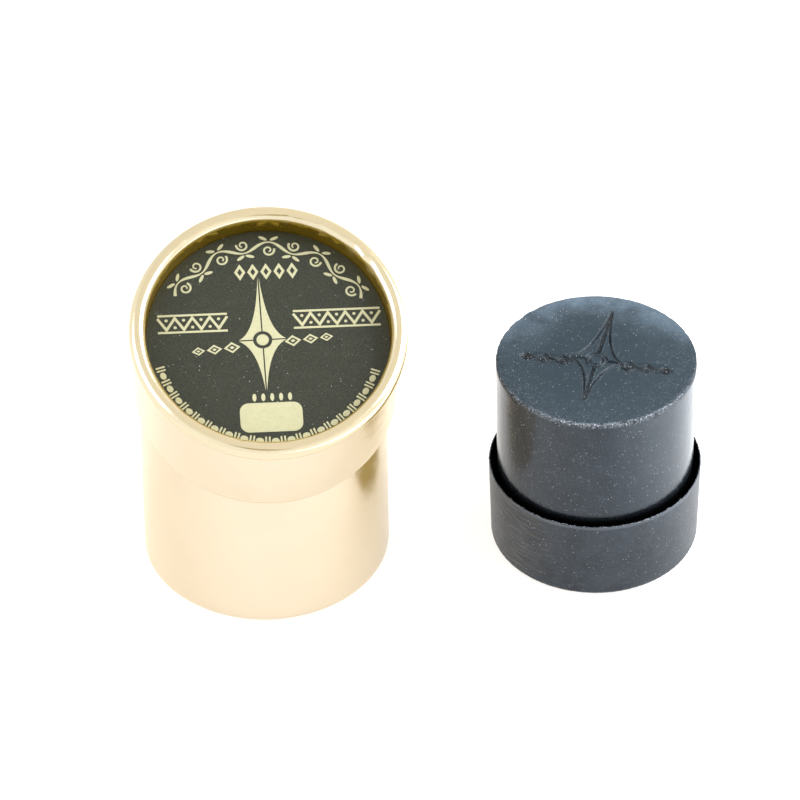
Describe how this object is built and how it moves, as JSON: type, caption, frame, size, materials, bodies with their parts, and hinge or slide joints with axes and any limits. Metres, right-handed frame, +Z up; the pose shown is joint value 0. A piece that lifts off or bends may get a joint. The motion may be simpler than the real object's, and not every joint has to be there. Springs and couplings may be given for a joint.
{
  "type": "rosin cake",
  "caption": "Dark round rosin cake standing in a shallow black cup beside its round gold tin, whose deep slip-on lid with a labelled sunk top rests askew on the open can.",
  "frame": {"origin": "on the table, under the middle of the box round the tin, its lid and the cup with its cake", "axes": "+Z up along the can, the cup and the cake; +X from the tin towards the cup; -Y is the front, towards which the lid dips"},
  "size_m": [0.1076, 0.0584, 0.0728],
  "materials": {
    "tin_metal": "polished gold-coloured aluminium",
    "label_print": "matt black printed disc with pale yellow ornament",
    "cup_rubber": "matt moulded rubber, lightly scuffed",
    "rosin": "cast dark rosin, semi-gloss side and dusty matt top"
  },
  "bodies": {
    "tin": {"can": "tin_metal"},
    "lid": {"lid_skirt": "tin_metal", "lid_end": "tin_metal", "label": "label_print"},
    "cup": {"cup": "cup_rubber"},
    "cake": {"rosin_cake": "rosin"}
  },
  "joints": [
    {"name": "lid_lift", "type": "slide", "parent": "tin", "child": "lid", "axis": [0, 0, 1], "range_m": [0, 0.045]},
    {"name": "cup_lift", "type": "slide", "parent": "tin", "child": "cup", "axis": [0, 0, 1], "range_m": [0, 0.05]},
    {"name": "cake_slide", "type": "slide", "parent": "cup", "child": "cake", "axis": [0, 0, 1], "range_m": [0, 0.04]}
  ]
}
